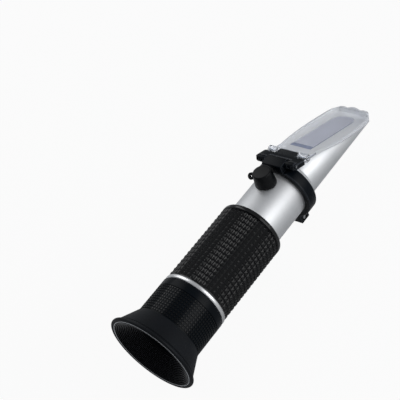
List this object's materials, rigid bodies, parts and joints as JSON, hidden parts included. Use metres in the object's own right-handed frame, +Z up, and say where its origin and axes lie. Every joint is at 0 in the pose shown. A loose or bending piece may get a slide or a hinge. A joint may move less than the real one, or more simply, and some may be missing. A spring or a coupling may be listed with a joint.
{
  "type": "wine refractometer",
  "caption": "Hand-held refractometer: silver tube with rubber grip, focusing eyepiece with flared eyecup, blue prism under a hinged clear plate.",
  "frame": {"origin": "centre of the base of the bounding box: under the optical axis, halfway between eyecup rim and plate tip", "axes": "+Y along the optical axis from the eyecup to the prism tip, +Z up towards the cover hinge, +X to the right when looking into the eyepiece with the hinge on top"},
  "size_m": [0.0454, 0.173, 0.0454],
  "materials": {
    "satin_aluminium": "satin",
    "black_metal": "matt black anodised",
    "black_plastic": "satin",
    "black_rubber": "matt",
    "steel": "plain",
    "brass": "turned",
    "clear_plastic": "clear moulded plastic",
    "optical_glass": "polished",
    "blue_glass": "polished",
    "blue_backing": "blue paint",
    "pale_sealant": "smooth"
  },
  "bodies": {
    "body": {"main_tube": "satin_aluminium", "prism_barrel": "satin_aluminium", "main_prism": "optical_glass", "prism_seat": "blue_backing", "prism_sealant": "pale_sealant", "joint_ring": "black_plastic", "blue_filter": "blue_glass", "filter_ring": "black_metal", "clamp_ring": "black_plastic", "clamp_screw": "steel", "clamp_nut": "black_metal", "hinge_pin": "steel", "calibration_bush": "brass", "calibration_saddle": "black_metal", "rubber_grip": "black_rubber", "trim_ring": "satin_aluminium", "guide_tube": "black_metal", "snap_ring": "steel", "reticle_cell": "black_metal", "reticle_disc": "optical_glass", "reticle_ring": "black_metal", "field_stop": "black_metal"},
    "cover_holder": {"cover_holder": "black_plastic", "plate_pin": "steel"},
    "daylight_plate": {"daylight_plate": "clear_plastic"},
    "rubber_cap": {"rubber_cap": "black_rubber"},
    "calibration_screw": {"calibration_screw": "steel"},
    "objective_carriage": {"calibration_block": "brass", "bimetal_strip": "steel", "strip_screws": "steel", "objective_cell": "black_metal", "objective_lens": "optical_glass"},
    "focus_ring": {"focus_ring": "black_plastic", "eyecup": "black_rubber"},
    "ocular": {"ocular_cell": "black_metal", "eye_lens": "optical_glass", "lens_spacer": "black_metal", "field_lens": "optical_glass", "lens_ring": "black_metal", "guide_pin": "steel"}
  },
  "joints": [
    {"name": "cover_hinge", "type": "hinge", "parent": "body", "child": "cover_holder", "pos_m": [0, 0.02316, 0.03969], "axis": [1, 0, 0], "range_deg": [0, 135]},
    {"name": "plate_hinge", "type": "hinge", "parent": "cover_holder", "child": "daylight_plate", "pos_m": [0, 0.03223, 0.03669], "axis": [1, 0, 0], "range_deg": [0, 65]},
    {"name": "cap_lift", "type": "slide", "parent": "body", "child": "rubber_cap", "axis": [0, 0, 1], "range_m": [0, 0.0035]},
    {"name": "calibration_turn", "type": "hinge", "parent": "body", "child": "calibration_screw", "pos_m": [0, 0.01202, 0.03871], "axis": [0, 0, 1], "range_deg": [-360, 360]},
    {"name": "objective_lift", "type": "slide", "parent": "body", "child": "objective_carriage", "axis": [0, 0, 1], "range_m": [-0.0005, 0.0005]},
    {"name": "focus_turn", "type": "hinge", "parent": "body", "child": "focus_ring", "pos_m": [0, -0.06628, 0.02271], "axis": [0, 1, 0], "range_deg": [-120, 120]},
    {"name": "ocular_slide", "type": "slide", "parent": "body", "child": "ocular", "axis": [0, 1, 0], "range_m": [-0.00205, 0.00205]}
  ],
  "couplings": [
    {"joint": "ocular_slide", "follows": "focus_turn", "m_per_rad": 0.00095493},
    {"joint": "calibration_turn", "follows": "objective_lift", "rad_per_m": -12566}
  ]
}
